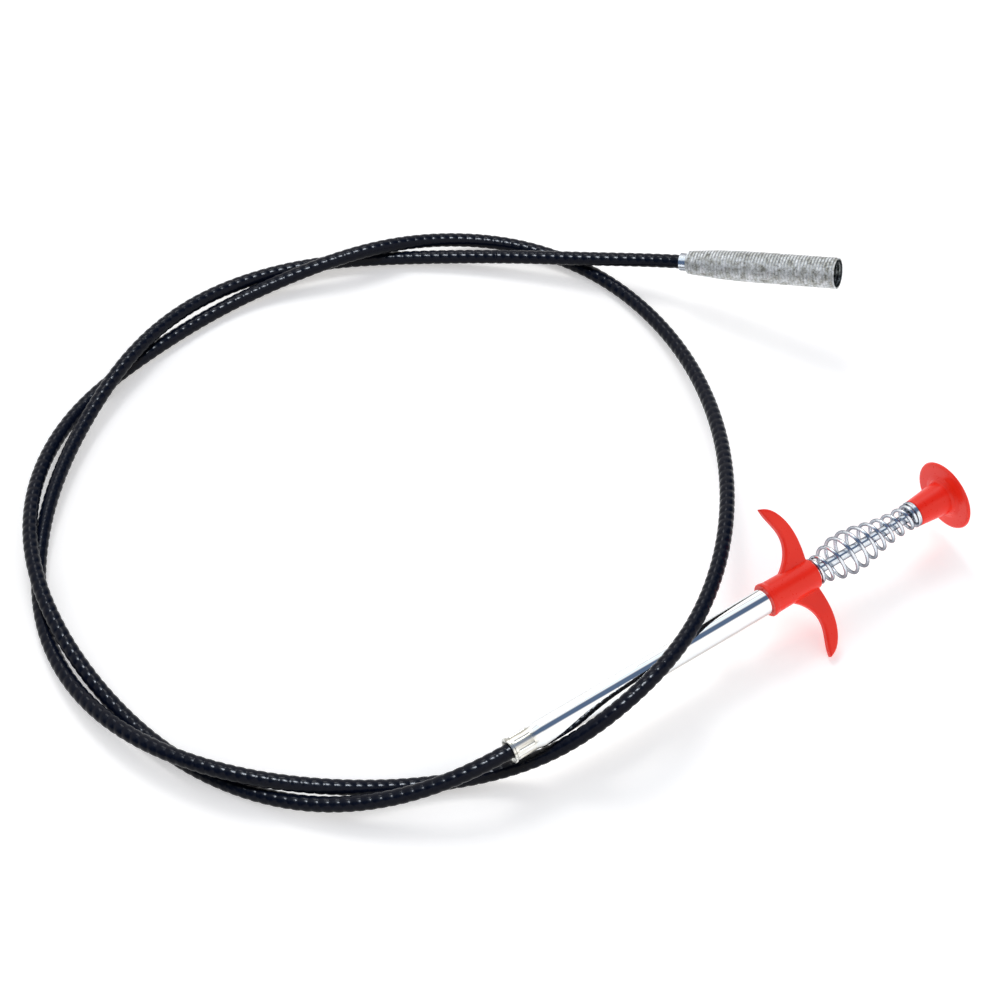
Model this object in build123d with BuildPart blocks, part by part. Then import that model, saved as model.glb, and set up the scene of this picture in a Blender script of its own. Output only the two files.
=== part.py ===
from build123d import *
from math import cos, pi, radians, sin
import os

# Hand-held drain auger: a thumb plunger slides in a steel handle tube, pushes a pull wire along a
# ribbed flexible hose, and drives four claws out of the mouth of the tip.
#
# Frame, in millimetres: the origin is the centre of the thumb face, +X is the handle's axis pointing
# out of the thumb face, and +Z is up.  The tool lies coiled on a table below the handle.

# ---- how it lies on the table ----
HANDLE_HEIGHT = 19.5
WING_ROLL = 38.0

# ---- stations along the handle, measured from the thumb face ----
STEM_END = -15.9
SPRING_BUTTON_END = -17.4
SPRING_GRIP_END = -61.7
GRIP_FRONT = -61.9
GRIP_BACK = -82.9
TUBE_FRONT = -63.4
BUSH_BACK = -76.4
HOSE_ENTRY = -173.4
TAPER_FRONT = -177.4
CRIMP_FRONT = -180.4
CRIMP_END = -189.4

# ---- gaps ----
SLIDE_GAP = 0.05
SEAT_GAP = 0.02
HOSE_SEAT_GAP = 0.1

# ---- thumb button ----
FACE_RADIUS = 9.0
RIM_RADIUS = 13.1
RIM_STATION = -1.3
DISC_BACK = -2.3
STEM_RADIUS = 4.95
STEM_ROOT_RADIUS = 6.2
STEM_EDGE = 0.3
BUTTON_BORE_DEPTH = -6.0
COLLAR_RING_RADIUS = 4.9
COLLAR_RING_CHAMFER = 0.3

# ---- plunger ----
ROD_RADIUS = 1.8
ROD_FRONT_GAP = 0.5
ROD_BACK = -108.4
COUPLER_RADIUS = 3.2
COUPLER_FRONT = -100.4
COUPLER_BACK = -118.4
COUPLER_CHAMFER = 0.4
COUPLER_END_GAP = 0.2
WIRE_RADIUS = 0.6
HANDLE_WIRE_FRONT = -112.4
HANDLE_WIRE_BACK = -144.4

# ---- return spring ----
SPRING_WIRE_RADIUS = 0.65
SPRING_TURNS = 10.4
SPRING_CLOSED_TURNS = 0.8
SPRING_CLOSED_RISE = 2.06 * SPRING_WIRE_RADIUS
SPRING_START_ANGLE = 22.0
SPRING_GRIP_RADIUS = 4.4
SPRING_BUTTON_RADIUS = 4.1
SPRING_BELLY = 3.1
SPRING_BELLY_SKEW = 0.65
SPRING_BELLY_POWER = 3.0
SPRING_POINTS_PER_TURN = 8

# ---- handle tube ----
TUBE_RADIUS = 4.75
TUBE_BORE = 4.25
CRIMP_RADIUS = 4.15
CRIMP_LIP_RADIUS = 4.6
CRIMP_LIP_BORE = 3.9
CRIMP_LIP_LENGTH = 1.2
CRIMP_FLUTES = 8
FLUTE_RADIUS = 0.8
FLUTE_DEPTH = 0.45
FLUTE_END_MARGIN = 0.8
DIMPLE_STATION = -147.4
DIMPLE_RADIUS = 0.45
DIMPLE_DEPTH = 0.25
DIMPLE_ROLL = 32.0

# ---- finger grip ----
COLLAR_FRONT_RADIUS = 5.6
COLLAR_BACK_RADIUS = 5.9
COLLAR_LIP_RADIUS = 6.2
COLLAR_EDGE = 0.4
WING_THICKNESS = 3.4
WING_EDGE_ROUND = 1.0
# The wings sweep towards the hose; points are (station, distance out from the handle's axis).
WING_TIP = (-70.0, 28.7)
WING_OUTER = (
    (-62.6, 4.9),
    (-61.8, 11.0),
    (-62.0, 17.0),
    (-63.8, 23.0),
    (-66.6, 26.9),
)
WING_INNER = (
    (-68.9, 23.5),
    (-67.4, 18.0),
    (-67.6, 14.0),
    (-69.4, 10.0),
    (-75.2, 4.9),
)

# ---- hose ----
HOSE_RADIUS = 2.75
CRIMP_POINTS = 5
LINER_RADIUS = 2.03
LINER_BORE = 1.2
COIL_CENTRE = (-151.4, 122.0)
# Where the coil passes: degrees round the coil centre, radius, height above the table.
COIL_POINTS = (
    (-120, 133.0, 12.9),
    (-136, 136.6, 5.3),
    (-152, 137.0, 3.0),
    (-170, 135.7, 4.1),
    (-196, 136.4, 10.4),
    (-215, 134.5, 7.1),
    (-232, 128.8, 3.0),
    (-248, 119.5, 3.2),
    (-266, 115.2, 3.2),
    (-280, 112.8, 6.8),
    (-292, 113.0, 10.4),
    (-306, 120.9, 7.2),
    (-322, 128.2, 3.5),
    (-340, 128.2, 3.0),
    (-358, 123.1, 4.8),
    (-376, 117.2, 11.1),
    (-398, 115.5, 20.3),
    (-418, 120.4, 25.8),
    (-434, 126.7, 27.4),
    (-448, 131.2, 26.5),
    (-461, 128.8, 11.9),
    (-475, 125.2, 3.1),
    (-492, 129.6, 6.7),
    (-508, 136.4, 10.1),
    (-532, 141.9, 5.6),
    (-550, 138.9, 2.9),
    (-568, 130.5, 5.7),
    (-588, 123.7, 6.5),
    (-604, 121.3, 9.0),
    (-622, 121.1, 7.0),
    (-646, 117.5, 3.8),
    (-664, 115.3, 3.5),
    (-683, 119.3, 6.4),
    (-697, 128.9, 10.1),
)
# Share of the hose's length at which the free end begins to flex, and the gap left there.
FLEX_SHARE = 0.952
FLEX_GAP = 1.8
# The coil's cover is cut into short lengths, so that each has a tight collision hull.
COVER_LENGTHS = 30

# ---- tip, measured from its neck towards its mouth ----
NECK_POINT = (-7.4, 146.3, -3.5)
TIP_DIRECTION = (0.540, -0.796, 0.273)
HOSE_IN_TIP = 8.0
NECK_RING_BACK = -0.8
NECK_RING_FRONT = 2.4
NECK_RING_RADIUS = 3.4
NECK_RING_CHAMFER = 0.2
SLEEVE_BACK_EDGE = 0.4
SLEEVE_FLARE_RADII = ((2.8, 4.5), (8.0, 4.95), (15.0, 5.5), (24.0, 5.85))
PARALLEL_START = 31.0
SLEEVE_LENGTH = 63.0
MOUTH_RADIUS = 5.9
MOUTH_BORE = 5.35
HOSE_SOCKET = 9.0
CAVITY_BACK = 12.0
CAVITY_BACK_RADIUS = 3.6

# ---- claws ----
CLAWS = 4
HUB_BACK = 24.0
HUB_FRONT = 33.0
HUB_RADIUS = 2.6
CLAW_PIVOT = 32.0
CLAW_PIVOT_RADIUS = 1.6
CLAW_WIRE_RADIUS = 0.42
CLAW_SLOT_WIDTH = 1.04
CLAW_SLOT_BACK = 31.0
CLAW_SLOT_LENGTH = 5.0
CLAW_SLOT_FLOOR = 1.02
CLAW_SLOT_HEIGHT = 3.0
CLAW_BARREL_RADIUS = 0.52
CLAW_BARREL_LENGTH = 0.96
HUB_EDGE = 0.5
CLAW_LENGTH = 28.5
CLAW_HOOK_LENGTH = 4.0
CLAW_HOOK_DROP = 0.75
TIP_WIRE_BACK = 2.0
TIP_WIRE_FRONT = 28.0

# Sketch planes whose x runs along the part's axis and whose y is the radius.
HANDLE_PROFILE = Plane(origin=(0, 0, 0), x_dir=(1, 0, 0), z_dir=(0, 0, 1))
TIP_AXIS = Vector(*TIP_DIRECTION).normalized()
TIP_SIDE = Vector(0, 0, 1).cross(TIP_AXIS).normalized()
TIP_PROFILE = Plane(origin=NECK_POINT, x_dir=TIP_AXIS, z_dir=TIP_AXIS.cross(TIP_SIDE))


def turn(profile_plane, outline):
    """Turns a closed outline of (station, radius) points about the plane's x axis."""
    with BuildSketch(profile_plane) as profile:
        with BuildLine():
            Polyline(*outline, close=True)
        make_face()
    revolve(profile.sketch, axis=Axis(profile_plane.origin, profile_plane.x_dir))


def tip_point(station, radius=0.0, roll=0.0):
    """A point in the tip: its station from the neck, its distance off the axis and its roll."""
    up = TIP_AXIS.cross(TIP_SIDE)
    side = TIP_SIDE * cos(radians(roll)) + up * sin(radians(roll))
    return Vector(*NECK_POINT) + TIP_AXIS * station + side * radius


def hose_points():
    """The hose's centreline: in from the crimp, round the coil and straight into the tip."""
    points = []
    for step in range(CRIMP_POINTS):
        share = step / (CRIMP_POINTS - 1)
        points.append(Vector(HOSE_ENTRY + share * (CRIMP_END - HOSE_ENTRY), 0, 0))
    for turned, radius, height in COIL_POINTS:
        x = COIL_CENTRE[0] + radius * cos(radians(turned))
        y = COIL_CENTRE[1] + radius * sin(radians(turned))
        points.append(Vector(x, y, height - HANDLE_HEIGHT))
    points.append(tip_point(0))
    points.append(tip_point(HOSE_IN_TIP))
    return points


def spring_points():
    """The barrel spring's wire: closed end turns and a belly nearer the grip, the grip end first."""
    steps = int(SPRING_TURNS * SPRING_POINTS_PER_TURN)
    low = SPRING_GRIP_END + SPRING_WIRE_RADIUS
    high = SPRING_BUTTON_END - SPRING_WIRE_RADIUS
    open_turns = SPRING_TURNS - 2 * SPRING_CLOSED_TURNS
    pitch = (high - low - 2 * SPRING_CLOSED_TURNS * SPRING_CLOSED_RISE) / open_turns
    points = []
    for step in range(steps + 1):
        turned = SPRING_TURNS * step / steps
        first = min(turned, SPRING_CLOSED_TURNS)
        last = max(turned - SPRING_TURNS + SPRING_CLOSED_TURNS, 0.0)
        middle = turned - first - last
        station = low + (first + last) * SPRING_CLOSED_RISE + middle * pitch
        share = min((station - low) / (high - low), 1.0)
        end_radius = SPRING_GRIP_RADIUS + share * (SPRING_BUTTON_RADIUS - SPRING_GRIP_RADIUS)
        belly = SPRING_BELLY * abs(sin(pi * share**SPRING_BELLY_SKEW)) ** SPRING_BELLY_POWER
        radius = end_radius + belly
        angle = radians(SPRING_START_ANGLE) + 2 * pi * turned
        points.append(Vector(station, radius * cos(angle), radius * sin(angle)))
    return points


os.makedirs("parts", exist_ok=True)

# ======== plunger: everything that moves with the thumb ========

with BuildPart() as thumb_button:
    turn(HANDLE_PROFILE, [
        (0, 0),
        (0, FACE_RADIUS),
        (-0.4, 11.6),
        (-0.9, RIM_RADIUS - 0.3),
        (RIM_STATION, RIM_RADIUS),
        (-1.9, RIM_RADIUS - 0.3),
        (-2.1, RIM_RADIUS - 1.0),
        (DISC_BACK, 8.4),
        (DISC_BACK - 0.4, 7.0),
        (DISC_BACK - 1.3, STEM_ROOT_RADIUS),
        (STEM_END + STEM_EDGE, STEM_RADIUS),
        (STEM_END, STEM_RADIUS - STEM_EDGE),
        (STEM_END, ROD_RADIUS + SEAT_GAP),
        (BUTTON_BORE_DEPTH, ROD_RADIUS + SEAT_GAP),
        (BUTTON_BORE_DEPTH, 0),
    ])
thumb_button.part.label = "thumb_button"
export_step(thumb_button.part, "parts/thumb_button.step")

with BuildPart() as spring_collar:
    turn(HANDLE_PROFILE, [
        (STEM_END, ROD_RADIUS + SEAT_GAP),
        (STEM_END, COLLAR_RING_RADIUS),
        (SPRING_BUTTON_END, COLLAR_RING_RADIUS),
        (SPRING_BUTTON_END, ROD_RADIUS + SEAT_GAP),
    ])
    ring_edges = spring_collar.edges().filter_by(GeomType.CIRCLE).group_by(SortBy.RADIUS)[-1]
    chamfer(ring_edges, COLLAR_RING_CHAMFER)
spring_collar.part.label = "spring_collar"
export_step(spring_collar.part, "parts/spring_collar.step")

with BuildPart() as plunger_rod:
    turn(HANDLE_PROFILE, [
        (BUTTON_BORE_DEPTH - ROD_FRONT_GAP, 0),
        (BUTTON_BORE_DEPTH - ROD_FRONT_GAP, ROD_RADIUS),
        (ROD_BACK, ROD_RADIUS),
        (ROD_BACK, 0),
    ])
plunger_rod.part.label = "plunger_rod"
export_step(plunger_rod.part, "parts/plunger_rod.step")

with BuildPart() as wire_coupler:
    turn(HANDLE_PROFILE, [
        (COUPLER_FRONT, ROD_RADIUS + SEAT_GAP),
        (COUPLER_FRONT, COUPLER_RADIUS),
        (COUPLER_BACK, COUPLER_RADIUS),
        (COUPLER_BACK, WIRE_RADIUS + SEAT_GAP),
        (ROD_BACK - COUPLER_END_GAP, WIRE_RADIUS + SEAT_GAP),
        (ROD_BACK - COUPLER_END_GAP, ROD_RADIUS + SEAT_GAP),
    ])
    coupler_edges = wire_coupler.edges().filter_by(GeomType.CIRCLE).group_by(SortBy.RADIUS)[-1]
    chamfer(coupler_edges, COUPLER_CHAMFER)
wire_coupler.part.label = "wire_coupler"
export_step(wire_coupler.part, "parts/wire_coupler.step")

with BuildPart() as handle_wire:
    turn(HANDLE_PROFILE, [
        (HANDLE_WIRE_FRONT, 0),
        (HANDLE_WIRE_FRONT, WIRE_RADIUS),
        (HANDLE_WIRE_BACK, WIRE_RADIUS),
        (HANDLE_WIRE_BACK, 0),
    ])
handle_wire.part.label = "handle_wire"
export_step(handle_wire.part, "parts/handle_wire.step")

# ======== handle: the fixed parts round the plunger ========

with BuildPart() as return_spring:
    with BuildLine() as spring_line:
        Spline(*spring_points())
    with BuildSketch(Plane(origin=spring_line.line @ 0, z_dir=spring_line.line % 0)):
        Circle(SPRING_WIRE_RADIUS)
    sweep(is_frenet=True)
return_spring.part.label = "return_spring"
export_step(return_spring.part, "parts/return_spring.step")

with BuildPart() as guide_bush:
    turn(HANDLE_PROFILE, [
        (SPRING_GRIP_END, ROD_RADIUS + SLIDE_GAP),
        (SPRING_GRIP_END, TUBE_RADIUS),
        (TUBE_FRONT, TUBE_RADIUS),
        (TUBE_FRONT, TUBE_BORE - SEAT_GAP),
        (BUSH_BACK, TUBE_BORE - SEAT_GAP),
        (BUSH_BACK, ROD_RADIUS + SLIDE_GAP),
    ])
guide_bush.part.label = "guide_bush"
export_step(guide_bush.part, "parts/guide_bush.step")

with BuildPart() as handle_tube:
    turn(HANDLE_PROFILE, [
        (TUBE_FRONT - SEAT_GAP, TUBE_BORE),
        (TUBE_FRONT - SEAT_GAP, TUBE_RADIUS),
        (TAPER_FRONT, TUBE_RADIUS),
        (TAPER_FRONT - 0.6, TUBE_RADIUS - 0.1),
        (CRIMP_FRONT + 0.6, CRIMP_RADIUS + 0.1),
        (CRIMP_FRONT, CRIMP_RADIUS),
        (CRIMP_END + CRIMP_LIP_LENGTH, CRIMP_RADIUS),
        (CRIMP_END + 0.6 * CRIMP_LIP_LENGTH, CRIMP_LIP_RADIUS),
        (CRIMP_END + 0.2 * CRIMP_LIP_LENGTH, CRIMP_LIP_RADIUS),
        (CRIMP_END, CRIMP_LIP_RADIUS - 0.2),
        (CRIMP_END, CRIMP_LIP_BORE),
        (CRIMP_END + 0.4 * CRIMP_LIP_LENGTH, HOSE_RADIUS + HOSE_SEAT_GAP),
        (CRIMP_FRONT, HOSE_RADIUS + HOSE_SEAT_GAP),
        (TAPER_FRONT, TUBE_BORE),
    ])
    flute_middle = (CRIMP_FRONT + CRIMP_END + CRIMP_LIP_LENGTH) / 2
    flute_length = CRIMP_FRONT - CRIMP_END - CRIMP_LIP_LENGTH - 2 * FLUTE_END_MARGIN
    flute_offset = CRIMP_RADIUS + FLUTE_RADIUS - FLUTE_DEPTH
    with Locations(Plane(origin=(flute_middle, 0, 0), x_dir=(0, 1, 0), z_dir=(1, 0, 0))):
        with PolarLocations(flute_offset, CRIMP_FLUTES):
            Cylinder(FLUTE_RADIUS, flute_length, mode=Mode.SUBTRACT)
    dimple_axis = Vector(0, -sin(radians(DIMPLE_ROLL)), cos(radians(DIMPLE_ROLL)))
    dimple_floor = Vector(DIMPLE_STATION, 0, 0) + dimple_axis * (TUBE_RADIUS - DIMPLE_DEPTH)
    with Locations(Plane(origin=dimple_floor, z_dir=dimple_axis)):
        Cylinder(
            DIMPLE_RADIUS, 1.0,
            align=(Align.CENTER, Align.CENTER, Align.MIN), mode=Mode.SUBTRACT,
        )
handle_tube.part.label = "handle_tube"
export_step(handle_tube.part, "parts/handle_tube.step")

with BuildPart() as wing:
    with BuildSketch(Plane.XY):
        with BuildLine():
            Spline(*WING_OUTER, WING_TIP)
            Spline(WING_TIP, *WING_INNER)
            Line(WING_INNER[-1], WING_OUTER[0])
        make_face()
    extrude(amount=WING_THICKNESS / 2, both=True)
    fillet(wing.edges().filter_by(GeomType.BSPLINE), WING_EDGE_ROUND)

with BuildPart() as finger_grip:
    turn(HANDLE_PROFILE, [
        (GRIP_FRONT, TUBE_RADIUS + SEAT_GAP),
        (GRIP_FRONT, COLLAR_FRONT_RADIUS - COLLAR_EDGE),
        (GRIP_FRONT - COLLAR_EDGE, COLLAR_FRONT_RADIUS),
        (GRIP_BACK + 2.2, COLLAR_BACK_RADIUS),
        (GRIP_BACK + 1.2, COLLAR_LIP_RADIUS),
        (GRIP_BACK + 0.3, COLLAR_LIP_RADIUS),
        (GRIP_BACK, COLLAR_LIP_RADIUS - 0.3),
        (GRIP_BACK, TUBE_RADIUS + SEAT_GAP),
    ])
    for wing_roll in (WING_ROLL, WING_ROLL + 180):
        add(wing.part.rotate(Axis.X, wing_roll))
    with Locations(Plane(origin=(GRIP_FRONT, 0, 0), z_dir=(-1, 0, 0))):
        Cylinder(
            TUBE_RADIUS + SEAT_GAP, GRIP_FRONT - GRIP_BACK,
            align=(Align.CENTER, Align.CENTER, Align.MIN), mode=Mode.SUBTRACT,
        )
finger_grip.part.label = "finger_grip"
export_step(finger_grip.part, "parts/finger_grip.step")

# ======== hose: cover, liner and pull wire, in a long coil and a short free end ========

hose_path = Spline(*hose_points(), tangents=[Vector(-1, 0, 0), TIP_AXIS])
gap_share = FLEX_GAP / hose_path.length / 2
coil_path = hose_path.trim(0, FLEX_SHARE - gap_share)
free_path = hose_path.trim(FLEX_SHARE + gap_share, 1)


def rod_along(path, radius):
    """A solid rod swept along a path; its largest face is its skin, the other two are its ends."""
    with BuildSketch(Plane(origin=path @ 0, z_dir=path % 0)) as section:
        Circle(radius)
    return sweep(section.sketch, path=path, mode=Mode.PRIVATE)


def pipe_along(path, outer, inner):
    """A pipe closed from an outer skin, an inner skin and a flat ring at each end."""
    outer_ends = rod_along(path, outer).faces().sort_by(SortBy.AREA)
    inner_ends = rod_along(path, inner).faces().sort_by(SortBy.AREA)
    outer_skin = outer_ends.pop()
    inner_skin = inner_ends.pop()
    rings = []
    for outer_end in outer_ends:
        inner_end = inner_ends.sort_by_distance(outer_end.center())[0]
        rings.append(Face(outer_end.outer_wire(), [inner_end.outer_wire()]))
    return Solid(Shell([outer_skin, inner_skin, *rings]))


# The lengths of the cover only touch, so they stay separate solids in one compound.
cover_lengths = []
for number in range(COVER_LENGTHS):
    cover_length = coil_path.trim(number / COVER_LENGTHS, (number + 1) / COVER_LENGTHS)
    cover_lengths.append(pipe_along(cover_length, HOSE_RADIUS, LINER_RADIUS + SEAT_GAP))
hose_cover = Compound(label="hose_cover", children=cover_lengths)
export_step(hose_cover, "parts/hose_cover.step")

with BuildPart() as hose_liner:
    add(pipe_along(coil_path, LINER_RADIUS, LINER_BORE))
hose_liner.part.label = "hose_liner"
export_step(hose_liner.part, "parts/hose_liner.step")

with BuildPart() as coil_wire:
    add(rod_along(coil_path, WIRE_RADIUS))
coil_wire.part.label = "coil_wire"
export_step(coil_wire.part, "parts/coil_wire.step")

with BuildPart() as free_end_cover:
    add(pipe_along(free_path, HOSE_RADIUS, LINER_RADIUS + SEAT_GAP))
free_end_cover.part.label = "free_end_cover"
export_step(free_end_cover.part, "parts/free_end_cover.step")

with BuildPart() as free_end_liner:
    add(pipe_along(free_path, LINER_RADIUS, LINER_BORE))
free_end_liner.part.label = "free_end_liner"
export_step(free_end_liner.part, "parts/free_end_liner.step")

# ======== tip: neck ring and sleeve on the free end ========

with BuildPart() as neck_ring:
    turn(TIP_PROFILE, [
        (NECK_RING_BACK, HOSE_RADIUS + HOSE_SEAT_GAP),
        (NECK_RING_BACK, NECK_RING_RADIUS - NECK_RING_CHAMFER),
        (NECK_RING_BACK + NECK_RING_CHAMFER, NECK_RING_RADIUS),
        (NECK_RING_FRONT, NECK_RING_RADIUS),
        (NECK_RING_FRONT, HOSE_RADIUS + HOSE_SEAT_GAP),
    ])
neck_ring.part.label = "neck_ring"
export_step(neck_ring.part, "parts/neck_ring.step")

with BuildPart() as tip_sleeve:
    turn(TIP_PROFILE, [
        (NECK_RING_FRONT, HOSE_RADIUS + HOSE_SEAT_GAP),
        (NECK_RING_FRONT, SLEEVE_FLARE_RADII[0][1] - SLEEVE_BACK_EDGE),
        *SLEEVE_FLARE_RADII,
        (PARALLEL_START, MOUTH_RADIUS),
        (SLEEVE_LENGTH, MOUTH_RADIUS),
        (SLEEVE_LENGTH, MOUTH_BORE),
        (PARALLEL_START, MOUTH_BORE),
        (CAVITY_BACK, CAVITY_BACK_RADIUS),
        (HOSE_SOCKET, CAVITY_BACK_RADIUS),
        (HOSE_SOCKET, HOSE_RADIUS + HOSE_SEAT_GAP),
    ])
tip_sleeve.part.label = "tip_sleeve"
export_step(tip_sleeve.part, "parts/tip_sleeve.step")

# ======== claws: the hub slides in the tip and the claws open as they leave the mouth ========

with BuildPart() as tip_wire:
    turn(TIP_PROFILE, [
        (TIP_WIRE_BACK, 0),
        (TIP_WIRE_BACK, WIRE_RADIUS),
        (TIP_WIRE_FRONT, WIRE_RADIUS),
        (TIP_WIRE_FRONT, 0),
    ])
tip_wire.part.label = "tip_wire"
export_step(tip_wire.part, "parts/tip_wire.step")

with BuildPart() as claw_hub:
    turn(TIP_PROFILE, [
        (HUB_BACK, WIRE_RADIUS + SEAT_GAP),
        (HUB_BACK, HUB_RADIUS - HUB_EDGE),
        (HUB_BACK + HUB_EDGE, HUB_RADIUS),
        (HUB_FRONT, HUB_RADIUS),
        (HUB_FRONT, 0),
        (TIP_WIRE_FRONT + 0.1, 0),
        (TIP_WIRE_FRONT + 0.1, WIRE_RADIUS + SEAT_GAP),
    ])
    for claw in range(CLAWS):
        roll = 360.0 * claw / CLAWS
        slot_origin = tip_point(CLAW_SLOT_BACK, CLAW_SLOT_FLOOR, roll)
        outward = (tip_point(0, 1, roll) - tip_point(0)).normalized()
        with Locations(Plane(origin=slot_origin, x_dir=TIP_AXIS, z_dir=outward)):
            Box(
                CLAW_SLOT_LENGTH, CLAW_SLOT_WIDTH, CLAW_SLOT_HEIGHT,
                align=(Align.MIN, Align.CENTER, Align.MIN), mode=Mode.SUBTRACT,
            )
claw_hub.part.label = "claw_hub"
export_step(claw_hub.part, "parts/claw_hub.step")

for claw in range(CLAWS):
    roll = 360.0 * claw / CLAWS
    root = tip_point(CLAW_PIVOT, CLAW_PIVOT_RADIUS, roll)
    bend = tip_point(CLAW_PIVOT + CLAW_LENGTH - CLAW_HOOK_LENGTH, CLAW_PIVOT_RADIUS, roll)
    point = tip_point(CLAW_PIVOT + CLAW_LENGTH, CLAW_PIVOT_RADIUS - CLAW_HOOK_DROP, roll)
    claw_name = f"claw_{claw + 1}"
    with BuildPart() as claw_wire:
        for start, finish in ((root, bend), (bend, point)):
            with Locations(Plane(origin=start, z_dir=finish - start)):
                Cylinder(
                    CLAW_WIRE_RADIUS, (finish - start).length,
                    align=(Align.CENTER, Align.CENTER, Align.MIN),
                )
        with Locations(bend):
            Sphere(CLAW_WIRE_RADIUS)
        outward = (tip_point(0, 1, roll) - tip_point(0)).normalized()
        with Locations(Plane(origin=root, z_dir=TIP_AXIS.cross(outward))):
            Cylinder(CLAW_BARREL_RADIUS, CLAW_BARREL_LENGTH)
    claw_wire.part.label = claw_name
    export_step(claw_wire.part, f"parts/{claw_name}.step")
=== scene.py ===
import math

import bpy
import numpy as np
from mathutils import Matrix, Vector


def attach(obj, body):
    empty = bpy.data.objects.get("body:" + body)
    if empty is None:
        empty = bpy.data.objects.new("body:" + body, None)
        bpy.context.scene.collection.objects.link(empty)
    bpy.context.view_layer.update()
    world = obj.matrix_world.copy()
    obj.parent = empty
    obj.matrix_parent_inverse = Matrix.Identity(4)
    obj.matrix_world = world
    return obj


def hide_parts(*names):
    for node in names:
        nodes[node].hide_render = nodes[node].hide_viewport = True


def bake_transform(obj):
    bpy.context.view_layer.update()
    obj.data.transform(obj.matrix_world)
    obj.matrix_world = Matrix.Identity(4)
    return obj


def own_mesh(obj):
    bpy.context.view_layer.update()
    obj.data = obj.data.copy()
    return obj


# Looks, light and camera for the drain auger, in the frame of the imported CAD: the origin is the
# centre of the thumb face, +X runs out of the thumb face and +Z is up. Named sizes and places are
# in millimetres and angles in degrees; MM turns them into Blender's metres.

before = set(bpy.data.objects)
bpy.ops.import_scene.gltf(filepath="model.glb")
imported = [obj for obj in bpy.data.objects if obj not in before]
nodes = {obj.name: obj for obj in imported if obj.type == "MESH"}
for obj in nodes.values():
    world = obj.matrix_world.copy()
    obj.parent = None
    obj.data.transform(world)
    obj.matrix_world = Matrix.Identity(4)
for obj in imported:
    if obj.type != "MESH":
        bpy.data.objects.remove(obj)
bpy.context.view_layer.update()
MM = 0.001
WHITE = (1.0, 1.0, 1.0)

# ---- handle ----
# The handle's axis is this high above the table; places along the handle are on +X.
HANDLE_HEIGHT = 19.5
TABLE_Z = -HANDLE_HEIGHT
HOSE_ENTRY = -173.4
CRIMP_FRONT = -180.4
CRIMP_END = -189.4
CRIMP_POINTS = 5
CRIMP_FADE = 1.0
# The way the tube's lower side faces; there a painted reflection of the shaded floor greys it.
TUBE_LOWER_SIDE = (0.0, -0.73, -0.68)

# ---- hose ----
COIL_CENTRE = (-151.4, 122.0)
# Where the coil passes: degrees round the coil centre, radius, height above the table.
COIL_POINTS = (
    (-120, 133.0, 12.9),
    (-136, 136.6, 5.3),
    (-152, 137.0, 3.0),
    (-170, 135.7, 4.1),
    (-196, 136.4, 10.4),
    (-215, 134.5, 7.1),
    (-232, 128.8, 3.0),
    (-248, 119.5, 3.2),
    (-266, 115.2, 3.2),
    (-280, 112.8, 6.8),
    (-292, 113.0, 10.4),
    (-306, 120.9, 7.2),
    (-322, 128.2, 3.5),
    (-340, 128.2, 3.0),
    (-358, 123.1, 4.8),
    (-376, 117.2, 11.1),
    (-398, 115.5, 20.3),
    (-418, 120.4, 25.8),
    (-434, 126.7, 27.4),
    (-448, 131.2, 26.5),
    (-461, 128.8, 11.9),
    (-475, 125.2, 3.1),
    (-492, 129.6, 6.7),
    (-508, 136.4, 10.1),
    (-532, 141.9, 5.6),
    (-550, 138.9, 2.9),
    (-568, 130.5, 5.7),
    (-588, 123.7, 6.5),
    (-604, 121.3, 9.0),
    (-622, 121.1, 7.0),
    (-646, 117.5, 3.8),
    (-664, 115.3, 3.5),
    (-683, 119.3, 6.4),
    (-697, 128.9, 10.1),
)
CURVE_SAMPLES = 40000
HOSE_RADIUS = 2.75
HOSE_SIDES = 20
# Ribs wind round the hose; a power below 1 makes their crests wide and their grooves narrow.
RIB_PITCH = 3.6
RIB_DEPTH = 0.28
RIB_POWER = 0.6
RIB_SAMPLES = 8
# Where the free end turns, as a share of the hose's length, how far its bend reaches back, and
# how much earlier the coil's skin ends.
FLEX_SHARE = 0.952
FLEX_BEFORE = 14.0
FLEX_MARGIN = 2.0

# ---- tip ----
# Places along the tip are counted from the neck, where the hose goes in.
NECK_POINT = (-7.4, 146.3, -3.5)
TIP_DIRECTION = (0.540, -0.796, 0.273)
TIP_AXIS = np.array(TIP_DIRECTION) / np.linalg.norm(TIP_DIRECTION)
HOSE_IN_TIP = 8.0
MOUTH_BORE_START = 31.0
MOUTH_BORE_RADIUS = 5.35
MOUTH_BORE_FADE = 0.1
TIP_LINE_PITCH = 1.25
# The tip's painted light follows this way: its wound lines show most on the side that faces it, and a
# painted dark band lies low on the side away from it.
TIP_UPPER_SIDE = (0.43, 0.42, 0.80)

# ---- return spring ----
SPRING_GRIP_END = -61.7
SPRING_BUTTON_END = -17.4
SPRING_WIRE_RADIUS = 0.65
SPRING_TURNS = 10.4
SPRING_CLOSED_TURNS = 0.8
# A closed turn rises a little over the wire's diameter, so that it clears the next one.
SPRING_CLOSED_RISE = 2.06 * SPRING_WIRE_RADIUS
SPRING_START_ANGLE = 22.0
SPRING_GRIP_RADIUS = 4.4
SPRING_BUTTON_RADIUS = 4.1
SPRING_BELLY = 3.1
SPRING_BELLY_SKEW = 0.65
SPRING_BELLY_POWER = 3.0
SPRING_SAMPLES_PER_TURN = 40
SPRING_SIDES = 14

# ---- camera ----
CAMERA_TARGET = (-125.2, 99.7, TABLE_Z)
CAMERA_DISTANCE = 810.0
CAMERA_ELEVATION = 52.5
CAMERA_TURN = 34.2
CAMERA_LENS = 79.5
CAMERA_SENSOR = 36.0
CAMERA_NEAR = 10.0
CAMERA_FAR = 20000.0

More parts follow.
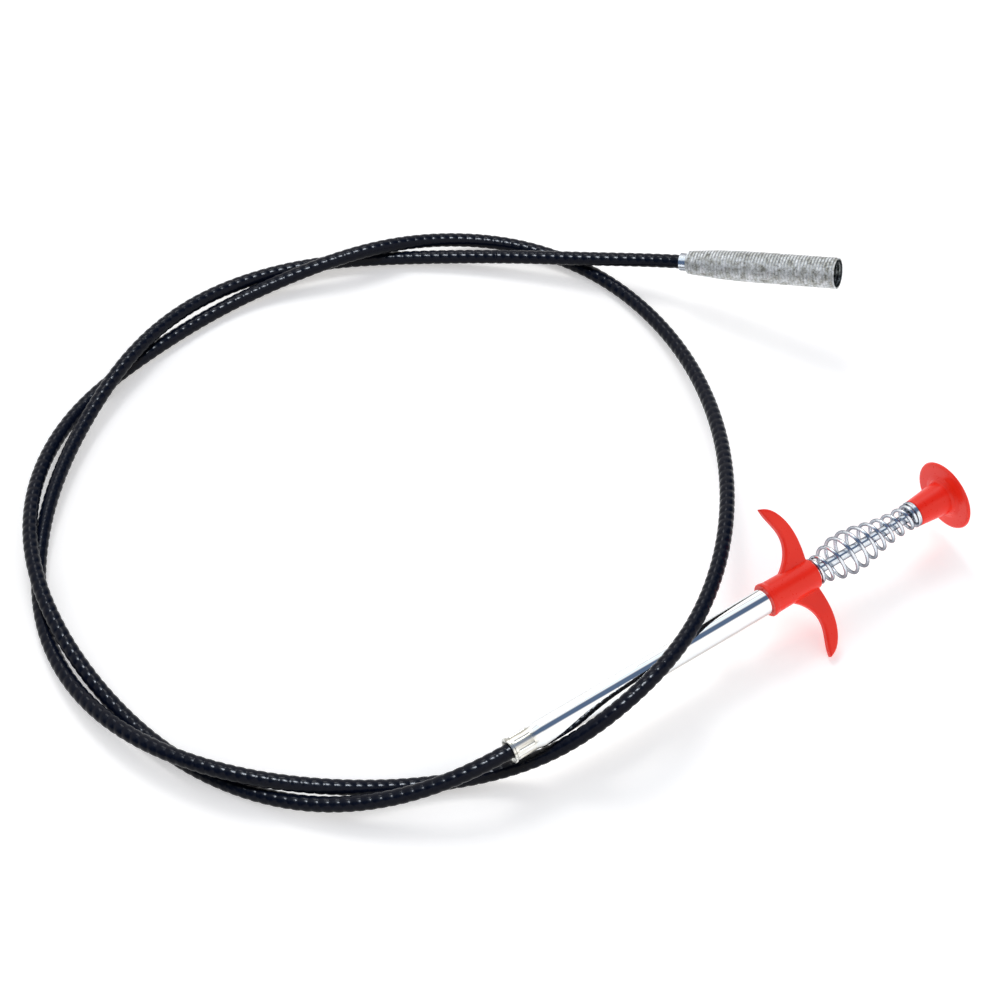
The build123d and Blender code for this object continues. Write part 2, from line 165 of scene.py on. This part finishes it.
# ---- studio ----
FLOOR_HALF_SIZE = 4000.0
FLOOR_COLOUR = (0.93, 0.918, 0.900)
FLOOR_GLOW = 0.32
STUDIO_STRENGTH = 1.22
STUDIO_WHITE = (1.0, 0.965, 0.935)
# Darker bands that run along the handle: the angle of their middle in the plane across the
# handle, from +Y towards +Z, the half-width of the full dark and of the whole band, the colour.
STUDIO_BANDS = (
    (98.0, 12.0, 26.0, (0.085, 0.13, 0.22)),
    (64.0, 4.0, 11.0, (0.80, 0.90, 0.98)),
    (46.0, 1.5, 5.0, (0.60, 0.66, 0.74)),
)
# Light directions are shares of the camera's right, of the level way from it, and of up.
LIGHT_DISTANCE = 1500.0
KEY_DIRECTION = (-0.2, 0.8, 1.2)
KEY_SIZE = 420.0
KEY_POWER = 5.0
GLINT_DIRECTION = (0.0, -0.06, 1.0)
GLINT_SIZE = 400.0
GLINT_POWER = 58.0
GLINT_COLOUR = (0.84, 0.91, 1.0)

# ---- which CAD nodes share a finish ----
ZINC_NODES = ("plunger_rod", "spring_collar", "neck_ring")
STEEL_NODES = (
    "wire_coupler",
    "handle_wire",
    "coil_wire",
    "hose_liner",
    "free_end_liner",
    "tip_wire",
    "claw_hub",
)
CLAW_NODES = ("claw_1", "claw_2", "claw_3", "claw_4")


# ======== curves and meshes ========

def smooth_curve(points, start_slope, end_slope):
    """A twice-smooth cubic through the points, its parameter the distance from point to point."""
    points = np.array(points, float)
    steps = np.linalg.norm(np.diff(points, axis=0), axis=1)
    knots = np.concatenate([[0.0], np.cumsum(steps)])
    count = len(points)
    system = np.zeros((count, count))
    right = np.zeros((count, 3))
    chords = np.diff(points, axis=0) / steps[:, None]
    system[0, 0] = 2 * steps[0]
    system[0, 1] = steps[0]
    right[0] = 6 * (chords[0] - start_slope)
    system[-1, -1] = 2 * steps[-1]
    system[-1, -2] = steps[-1]
    right[-1] = 6 * (end_slope - chords[-1])
    for i in range(1, count - 1):
        system[i, i - 1] = steps[i - 1]
        system[i, i] = 2 * (steps[i - 1] + steps[i])
        system[i, i + 1] = steps[i]
        right[i] = 6 * (chords[i] - chords[i - 1])
    bend = np.linalg.solve(system, right)

    def at(values):
        values = np.atleast_1d(values)
        piece = np.clip(np.searchsorted(knots, values, side="right") - 1, 0, count - 2)
        width = steps[piece][:, None]
        ahead = (knots[piece + 1] - values)[:, None]
        passed = (values - knots[piece])[:, None]
        low = points[piece] / width - bend[piece] * width / 6
        high = points[piece + 1] / width - bend[piece + 1] * width / 6
        cubes = (bend[piece] * ahead**3 + bend[piece + 1] * passed**3) / (6 * width)
        return cubes + low * ahead + high * passed

    return at, knots[-1]


def evenly_spaced(at, last, step):
    """Points along a curve at equal distances, and those distances."""
    fine = at(np.linspace(0, last, CURVE_SAMPLES))
    run = np.concatenate([[0.0], np.cumsum(np.linalg.norm(np.diff(fine, axis=0), axis=1))])
    count = int(round(run[-1] / step))
    wanted = np.linspace(0, run[-1], count + 1)
    spaced = np.column_stack([np.interp(wanted, run, fine[:, k]) for k in range(3)])
    return spaced, wanted


def untwisted_frames(points):
    """For each point, two directions across the curve that turn as little as possible along it."""
    tangents = np.gradient(points, axis=0)
    tangents /= np.linalg.norm(tangents, axis=1)[:, None]
    side = np.cross(tangents[0], (0.0, 0.0, 1.0))
    side /= np.linalg.norm(side)
    sides = [side]
    for tangent in tangents[1:]:
        side = side - tangent * (side @ tangent)
        side /= np.linalg.norm(side)
        sides.append(side)
    sides = np.array(sides)
    return sides, np.cross(tangents, sides)


def link_mesh(name, vertices, faces):
    mesh = bpy.data.meshes.new(name)
    mesh.from_pydata(vertices, [], faces)
    mesh.update()
    piece = bpy.data.objects.new(name, mesh)
    bpy.context.scene.collection.objects.link(piece)
    return piece


def swept_mesh(name, points, radius_at, sides):
    """A closed tube along points; radius_at(ring number, angle) gives its radius."""
    first, second = untwisted_frames(points)
    angles = np.linspace(0, 2 * math.pi, sides, endpoint=False)
    rings = np.arange(len(points))
    radii = radius_at(rings[:, None], angles[None, :])
    around = (
        first[:, None, :] * np.cos(angles)[None, :, None]
        + second[:, None, :] * np.sin(angles)[None, :, None]
    )
    vertices = (points[:, None, :] + around * radii[:, :, None]).reshape(-1, 3) * MM
    faces = []
    for ring in range(len(points) - 1):
        for k in range(sides):
            after = (k + 1) % sides
            faces.append((
                ring * sides + k,
                ring * sides + after,
                (ring + 1) * sides + after,
                (ring + 1) * sides + k,
            ))
    faces.append(tuple(range(sides))[::-1])
    faces.append(tuple((len(points) - 1) * sides + k for k in range(sides)))
    piece = link_mesh(name, vertices.tolist(), faces)
    piece.data.shade_smooth()
    return piece


# ======== hose skin ========

def hose_points():
    """The middle of the hose: straight in the crimp, round the coil, then straight into the tip."""
    points = [(x, 0.0, 0.0) for x in np.linspace(HOSE_ENTRY, CRIMP_END, CRIMP_POINTS)]
    for turned, radius, height in COIL_POINTS:
        x = COIL_CENTRE[0] + radius * math.cos(math.radians(turned))
        y = COIL_CENTRE[1] + radius * math.sin(math.radians(turned))
        points.append((x, y, height + TABLE_Z))
    points.append(NECK_POINT)
    points.append(tuple(np.array(NECK_POINT) + TIP_AXIS * HOSE_IN_TIP))
    return points


def rib_radius(distances):
    """The hose's radius, with a rib that winds round it once in every pitch."""
    def radius_at(ring, angle):
        phase = distances[ring] / RIB_PITCH - angle / (2 * math.pi)
        bulge = np.abs(np.sin(math.pi * phase)) ** RIB_POWER
        return HOSE_RADIUS - RIB_DEPTH * (1 - bulge)

    return radius_at


def build_hose():
    """The ribbed skin in two pieces: the coil, and the free end that bends away from it."""
    at, last = smooth_curve(hose_points(), np.array([-1.0, 0.0, 0.0]), TIP_AXIS)
    points, distances = evenly_spaced(at, last, RIB_PITCH / RIB_SAMPLES)
    flex = FLEX_SHARE * distances[-1]
    cut = int(np.searchsorted(distances, flex - FLEX_BEFORE - FLEX_MARGIN))
    coil = swept_mesh("hose_skin", points[: cut + 1], rib_radius(distances[: cut + 1]), HOSE_SIDES)
    free = swept_mesh("free_end_skin", points[cut:], rib_radius(distances[cut:]), HOSE_SIDES)
    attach(coil, "handle")
    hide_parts("hose_cover")
    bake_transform(free)
    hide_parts("free_end_cover")
    return coil, free


# ======== return spring ========

def spring_points():
    """The middle of the spring's wire: closed end turns, and a belly nearer to the grip."""
    low = SPRING_GRIP_END + SPRING_WIRE_RADIUS
    high = SPRING_BUTTON_END - SPRING_WIRE_RADIUS
    open_turns = SPRING_TURNS - 2 * SPRING_CLOSED_TURNS
    pitch = (high - low - 2 * SPRING_CLOSED_TURNS * SPRING_CLOSED_RISE) / open_turns
    turned = np.linspace(0, SPRING_TURNS, int(SPRING_TURNS * SPRING_SAMPLES_PER_TURN) + 1)
    first = np.minimum(turned, SPRING_CLOSED_TURNS)
    final = np.maximum(turned - SPRING_TURNS + SPRING_CLOSED_TURNS, 0.0)
    station = low + (first + final) * SPRING_CLOSED_RISE + (turned - first - final) * pitch
    share = np.clip((station - low) / (high - low), 0, 1)
    radius = SPRING_GRIP_RADIUS + share * (SPRING_BUTTON_RADIUS - SPRING_GRIP_RADIUS)
    radius += SPRING_BELLY * np.sin(math.pi * share**SPRING_BELLY_SKEW) ** SPRING_BELLY_POWER
    angle = math.radians(SPRING_START_ANGLE) + 2 * math.pi * turned
    return np.column_stack([station, radius * np.cos(angle), radius * np.sin(angle)])


def wire_radius(ring, angle):
    """One wire radius all along the spring."""
    return np.full(np.broadcast(ring, angle).shape, SPRING_WIRE_RADIUS)


def build_spring():
    """The return spring, which shortens as the plunger is pressed."""
    spring = swept_mesh("spring_coils", spring_points(), wire_radius, SPRING_SIDES)
    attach(spring, "handle")
    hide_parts("return_spring")
    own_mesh(spring)
    return spring


# ======== node trees ========

class NodeTree:
    """A short way to add the nodes of one tree and to link them."""

    # Places of a Mix node's two colours among its inputs, and of the mixed one among its outputs.
    MIX_FIRST = 6
    MIX_SECOND = 7
    MIX_RESULT = 2

    def __init__(self, tree):
        self.tree = tree

    def add(self, kind, **settings):
        """Adds a node; each setting is one of its inputs or one of its properties."""
        node = self.tree.nodes.new(kind)
        for key, value in settings.items():
            name = key.replace("_", " ")
            if name in node.inputs:
                self.feed(value, node.inputs[name])
            else:
                setattr(node, key, value)
        return node

    def feed(self, value, socket):
        """Gives an input a value, a colour of three parts, or a link from another node."""
        if isinstance(value, bpy.types.NodeSocket):
            self.tree.links.new(value, socket)
        elif socket.type == "RGBA":
            socket.default_value = (*value, 1.0)
        else:
            socket.default_value = value

    def position(self):
        return self.add("ShaderNodeTexCoord").outputs["Object"]

    def normal(self):
        return self.add("ShaderNodeTexCoord").outputs["Normal"]

    def noise(self, scale, detail=3.0, roughness=0.5, place=None):
        place = place or self.position()
        settings = {"Vector": place, "Scale": scale, "Detail": detail, "Roughness": roughness}
        return self.add("ShaderNodeTexNoise", **settings).outputs["Fac"]

    def ramp(self, value, *stops, interpolation="LINEAR"):
        """A colour that changes through stops of (place, colour)."""
        node = self.add("ShaderNodeValToRGB", Fac=value)
        ramp = node.color_ramp
        ramp.interpolation = interpolation
        while len(ramp.elements) < len(stops):
            ramp.elements.new(0.5)
        for element, (place, colour) in zip(ramp.elements, stops):
            element.position = place
            element.color = (*colour, 1.0)
        return node.outputs["Color"]

    def span(self, value, low, high, source=(0.0, 1.0)):
        """Maps the source range to low and high, and holds it at the ends."""
        node = self.add("ShaderNodeMapRange", Value=value, From_Min=source[0], From_Max=source[1])
        self.feed(low, node.inputs["To Min"])
        self.feed(high, node.inputs["To Max"])
        return node.outputs["Result"]

    def calculate(self, operation, one, other=0.0):
        node = self.add("ShaderNodeMath", operation=operation)
        self.feed(one, node.inputs[0])
        self.feed(other, node.inputs[1])
        return node.outputs[0]

    def vector(self, operation, one, other=(0.0, 0.0, 0.0)):
        node = self.add("ShaderNodeVectorMath", operation=operation)
        self.feed(one, node.inputs[0])
        self.feed(other, node.inputs[1])
        return node

    def dot(self, one, other):
        return self.vector("DOT_PRODUCT", one, other).outputs["Value"]

    def mixed(self, one, other, amount):
        """One colour at amount 0, the other at 1."""
        mix = self.add("ShaderNodeMix", data_type="RGBA", Factor=amount)
        self.feed(one, mix.inputs[self.MIX_FIRST])
        self.feed(other, mix.inputs[self.MIX_SECOND])
        return mix.outputs[self.MIX_RESULT]

    def times(self, one, other):
        """Two colours multiplied."""
        mix = self.add("ShaderNodeMix", data_type="RGBA", blend_type="MULTIPLY", Factor=1.0)
        self.feed(one, mix.inputs[self.MIX_FIRST])
        self.feed(other, mix.inputs[self.MIX_SECOND])
        return mix.outputs[self.MIX_RESULT]


class Material(NodeTree):
    """One node material around its Principled surface."""

    def __init__(self, name):
        self.material = bpy.data.materials.new(name)
        self.material.use_nodes = True
        super().__init__(self.material.node_tree)
        self.surface = self.tree.nodes["Principled BSDF"]

    def finish(self, **inputs):
        for key, value in inputs.items():
            self.feed(value, self.surface.inputs[key.replace("_", " ")])

    def bump(self, height, strength, distance):
        node = self.add("ShaderNodeBump", Height=height, Strength=strength, Distance=distance * MM)
        self.finish(Normal=node.outputs["Normal"])

    def painted_edge_reflection(self, body, start, end, tint):
        """Paints a reflection: fades a colour to another where the surface turns away from the eye."""
        facing = self.add("ShaderNodeLayerWeight", Blend=0.5).outputs["Facing"]
        return self.mixed(body, tint, self.span(facing, 0.0, 1.0, (start, end)))


# ======== materials ========
# Noise scales are in waves for each metre; bump distances are in millimetres.

def red_plastic():
    look = Material("red_plastic")
    cloud = look.noise(60.0, 2.0)
    colour = look.ramp(cloud, (0.3, (0.85, 0.020, 0.008)), (0.7, (0.91, 0.030, 0.012)))
    look.finish(Base_Color=colour, Roughness=look.span(look.noise(900.0), 0.24, 0.34))
    look.finish(Specular_IOR_Level=0.24, Coat_Weight=0.10, Coat_Roughness=0.1)
    look.bump(look.noise(350.0, 4.0), 0.10, 0.2)
    return look.material


def crimp_wear(look):
    """Dull yellowish streaks along the tube."""
    along = look.add("ShaderNodeMapping", Vector=look.position(), Scale=(0.12, 1.0, 1.0))
    streak = look.noise(700.0, 4.0, 0.6, along.outputs["Vector"])
    return look.ramp(
        streak,
        (0.38, (0.40, 0.40, 0.36)),
        (0.50, (0.80, 0.80, 0.74)),
        (0.62, (0.93, 0.93, 0.90)),
    )


def chrome_tube():
    """Mirror chrome with painted dark reflections at its edges, greyer below with a painted reflection of
    the shaded floor, and worn where the back end is crimped onto the hose.
    """
    look = Material("chrome_tube")
    smear = look.noise(120.0, 4.0)
    body = look.ramp(smear, (0.3, (0.86, 0.89, 0.90)), (0.7, (0.93, 0.95, 0.96)))
    # Painted reflection: darker blue-grey where the tube turns away from the eye.
    body = look.painted_edge_reflection(body, 0.86, 0.97, (0.30, 0.36, 0.44))
    # Painted reflection of the shaded floor on the side facing TUBE_LOWER_SIDE.
    lower = look.span(look.dot(look.normal(), TUBE_LOWER_SIDE), 0.0, 1.0, (0.55, 0.85))
    plated = look.mixed(body, (0.58, 0.56, 0.53), lower)
    station = look.dot(look.position(), (1.0, 0.0, 0.0))
    fade = ((CRIMP_FRONT - CRIMP_FADE) * MM, (CRIMP_FRONT + CRIMP_FADE) * MM)
    crimped = look.span(station, 1.0, 0.0, fade)
    look.finish(Base_Color=look.mixed(plated, crimp_wear(look), crimped), Metallic=1.0)
    look.finish(Roughness=look.span(crimped, 0.05, 0.3))
    look.bump(look.noise(160.0, 2.0), 0.06, 0.2)
    return look.material


def zinc():
    """Bright bluish plating, with a painted reflection of dark surroundings where it turns away."""
    look = Material("zinc")
    grain = look.noise(2200.0, 4.0)
    body = look.ramp(grain, (0.35, (0.656, 0.7052, 0.7626)), (0.65, (0.80, 0.86, 0.93)))
    # Painted reflection: near black where the surface turns away from the eye.
    colour = look.painted_edge_reflection(body, 0.22, 0.72, (0.016, 0.028, 0.06))
    look.finish(Base_Color=colour, Metallic=1.0, Roughness=look.span(grain, 0.12, 0.24))
    look.bump(grain, 0.08, 0.1)
    return look.material


def black_cover():
    look = Material("black_cover")
    dust = look.noise(1400.0, 5.0)
    colour = look.ramp(dust, (0.35, (0.0005, 0.0009, 0.0026)), (0.75, (0.0014, 0.0021, 0.0048)))
    look.finish(Base_Color=colour, Roughness=look.span(dust, 0.18, 0.28), Specular_IOR_Level=0.10)
    look.bump(look.noise(3000.0, 3.0), 0.12, 0.08)
    return look.material


def tip_plating(look, blotch, speck, side):
    """Light and dark zinc patches with specks, and a darker band of painted reflection along the lower
    middle.
    """
    patches = look.ramp(
        blotch,
        (0.34, (0.17, 0.17, 0.15)),
        (0.44, (0.48, 0.49, 0.46)),
        (0.53, (0.68, 0.71, 0.73)),
        (0.66, (0.96, 0.98, 1.0)),
    )
    specks = look.ramp(speck, (0.36, (0.35, 0.35, 0.34)), (0.50, WHITE))
    # A band of painted reflection of a darker room, along the lower middle of the tip.
    above_bottom = look.span(side, 0.0, 1.0, (-0.7, -0.3))
    below_middle = look.span(side, 1.0, 0.0, (-0.05, 0.3))
    band = look.calculate("MULTIPLY", above_bottom, below_middle)
    painted_dark_band = look.mixed(WHITE, (0.70, 0.71, 0.72), band)
    return look.times(look.times(patches, specks), painted_dark_band)


def wound_lines(look):
    """A wave along the tip's axis, one crest for every wound line."""
    along = look.dot(look.position(), TIP_AXIS)
    turned = look.calculate("MULTIPLY", along, 2 * math.pi / (TIP_LINE_PITCH * MM))
    return look.calculate("SINE", turned)


def inside_mouth(look):
    """1 on the wall of the mouth's bore, 0 elsewhere on the tip."""
    neck = tuple(value * MM for value in NECK_POINT)
    from_neck = look.vector("SUBTRACT", look.position(), neck).outputs["Vector"]
    off_axis = look.vector("CROSS_PRODUCT", from_neck, TIP_AXIS).outputs["Vector"]
    radius = look.vector("LENGTH", off_axis).outputs["Value"]
    fade = (MOUTH_BORE_RADIUS * MM, (MOUTH_BORE_RADIUS + MOUTH_BORE_FADE) * MM)
    within_bore = look.span(radius, 1.0, 0.0, fade)
    station = look.dot(from_neck, TIP_AXIS)
    before_bore = look.calculate("LESS_THAN", station, MOUTH_BORE_START * MM)
    return look.calculate("SUBTRACT", within_bore, before_bore)


def galvanised():
    """Dull zinc: patches, specks, fine lines wound round it with painted contrast on the upper side, a
    painted dark band, and a mouth bore darkened with painted shade and painted glints.
    """
    look = Material("galvanised")
    blotch = look.noise(380.0, 8.0, 0.74)
    speck = look.noise(1100.0, 6.0, 0.8)
    side = look.dot(look.normal(), TIP_UPPER_SIDE)
    wave = wound_lines(look)
    # Painted light: the wound lines are real, but they show darkest on the upper side, where light grazes
    # them.
    painted_upper_contrast = look.span(side, 0.15, 0.85, (0.25, 0.75))
    dark_line = look.calculate("MULTIPLY", look.span(wave, 1.0, 0.0, (-1.0, 0.2)), painted_upper_contrast)
    plated = look.mixed(tip_plating(look, blotch, speck, side), (0.10, 0.11, 0.12), dark_line)
    # Painted shade with painted glints on the wall of the mouth's bore, a recess the light hardly
    # reaches.
    painted_bore_shade = look.ramp(blotch, (0.47, (0.05, 0.06, 0.065)), (0.60, (0.45, 0.50, 0.51)))
    look.finish(Base_Color=look.mixed(plated, painted_bore_shade, inside_mouth(look)), Metallic=0.75)
    look.finish(Roughness=look.span(speck, 0.26, 0.50))
    look.bump(look.calculate("ADD", look.calculate("MULTIPLY", wave, 0.4), speck), 0.8, 0.3)
    return look.material


def plain_steel(name, roughness):
    look = Material(name)
    grain = look.noise(1500.0, 4.0)
    colour = look.ramp(grain, (0.3, (0.42, 0.43, 0.45)), (0.7, (0.60, 0.61, 0.63)))
    look.finish(Base_Color=colour, Metallic=1.0, Roughness=look.span(grain, roughness, roughness + 0.15))
    look.bump(grain, 0.1, 0.1)
    return look.material


def bush_plastic():
    look = Material("bush_plastic")
    grain = look.noise(1200.0, 3.0)
    colour = look.ramp(grain, (0.3, (0.02, 0.02, 0.022)), (0.7, (0.045, 0.045, 0.05)))
    look.finish(Base_Color=colour, Roughness=look.span(grain, 0.4, 0.55))
    look.bump(grain, 0.1, 0.1)
    return look.material


def floor_paint():
    """Matt and near white, with a faint glow that keeps shadows light."""
    look = Material("floor")
    look.finish(Base_Color=FLOOR_COLOUR, Roughness=0.6, Specular_IOR_Level=0.2)
    look.finish(Emission_Color=WHITE, Emission_Strength=FLOOR_GLOW)
    return look.material


def dress(pieces, material):
    for piece in pieces:
        piece.data.materials.clear()
        piece.data.materials.append(material)


def dress_nodes(names, material):
    dress([nodes[name] for name in names], material)


# ======== floor, studio, light and camera ========

def camera_basis():
    """The camera's right, the level way from it, and the way back to it from its target."""
    turn = math.radians(CAMERA_TURN)
    rise = math.radians(CAMERA_ELEVATION)
    away = Vector((math.sin(turn), math.cos(turn), 0))
    right = Vector((math.cos(turn), -math.sin(turn), 0))
    back = -away * math.cos(rise) + Vector((0, 0, 1)) * math.sin(rise)
    return right, away, back


def add_camera():
    right, _, back = camera_basis()
    data = bpy.data.cameras.new("camera")
    data.lens = CAMERA_LENS
    data.sensor_width = CAMERA_SENSOR
    data.clip_start = CAMERA_NEAR * MM
    data.clip_end = CAMERA_FAR * MM
    camera = bpy.data.objects.new("camera", data)
    bpy.context.scene.collection.objects.link(camera)
    place = (Vector(CAMERA_TARGET) + back * CAMERA_DISTANCE) * MM
    turning = Matrix((right, back.cross(right), back)).transposed().to_4x4()
    camera.matrix_world = Matrix.Translation(place) @ turning
    bpy.context.scene.camera = camera


def add_floor():
    half = FLOOR_HALF_SIZE * MM
    height = TABLE_Z * MM
    corners = [(-half, -half, height), (half, -half, height), (half, half, height), (-half, half, height)]
    floor = link_mesh("floor", corners, [(0, 1, 2, 3)])
    dress([floor], floor_paint())


def add_world():
    """A white studio; only reflections and light see its darker bands, the camera sees white."""
    world = bpy.data.worlds.new("studio")
    world.use_nodes = True
    world.node_tree.nodes.clear()
    studio = NodeTree(world.node_tree)
    direction = studio.add("ShaderNodeTexCoord").outputs["Generated"]
    colour = STUDIO_WHITE
    for angle, inner, outer, dark in STUDIO_BANDS:
        turned = math.radians(angle)
        across = studio.dot(direction, (0.0, math.sin(turned), -math.cos(turned)))
        stops = ((math.sin(math.radians(inner)), dark), (math.sin(math.radians(outer)), WHITE))
        band = studio.ramp(studio.calculate("ABSOLUTE", across), *stops, interpolation="EASE")
        colour = studio.times(colour, band)
    camera_ray = studio.add("ShaderNodeLightPath").outputs["Is Camera Ray"]
    seen = studio.mixed(colour, WHITE, camera_ray)
    background = studio.add("ShaderNodeBackground", Color=seen, Strength=STUDIO_STRENGTH)
    studio.add("ShaderNodeOutputWorld", Surface=background.outputs[0])
    bpy.context.scene.world = world


def add_light(name, direction, size, power):
    """A square soft light that faces the middle of the coil."""
    data = bpy.data.lights.new(name, "AREA")
    data.shape = "SQUARE"
    data.size = size * MM
    data.energy = power
    light = bpy.data.objects.new(name, data)
    bpy.context.scene.collection.objects.link(light)
    right, away, _ = camera_basis()
    way = right * direction[0] + away * direction[1] + Vector((0, 0, 1)) * direction[2]
    way.normalize()
    light.location = (Vector(CAMERA_TARGET) + way * LIGHT_DISTANCE) * MM
    light.rotation_euler = way.to_track_quat("Z", "Y").to_euler()
    return light


def add_lights(hose):
    """A soft key light from behind, and an overhead one that only the hose's ribs catch."""
    add_light("key", KEY_DIRECTION, KEY_SIZE, KEY_POWER)
    glint = add_light("hose_glint", GLINT_DIRECTION, GLINT_SIZE, GLINT_POWER)
    glint.data.color = GLINT_COLOUR
    hose_only = bpy.data.collections.new("hose_only")
    for piece in hose:
        hose_only.objects.link(piece)
    glint.light_linking.receiver_collection = hose_only


# ======== the scene ========

hose = build_hose()
spring = build_spring()
zinc_plating = zinc()

dress(hose, black_cover())
dress([spring], zinc_plating)
dress_nodes(ZINC_NODES, zinc_plating)
dress_nodes(("thumb_button", "finger_grip"), red_plastic())
dress_nodes(("handle_tube",), chrome_tube())
dress_nodes(("tip_sleeve",), galvanised())
dress_nodes(("guide_bush",), bush_plastic())
dress_nodes(STEEL_NODES, plain_steel("plain_steel", 0.3))
dress_nodes(CLAW_NODES, plain_steel("claw_steel", 0.18))

add_floor()
add_world()
add_lights(hose)
add_camera()
bpy.context.scene.view_settings.view_transform = "Standard"
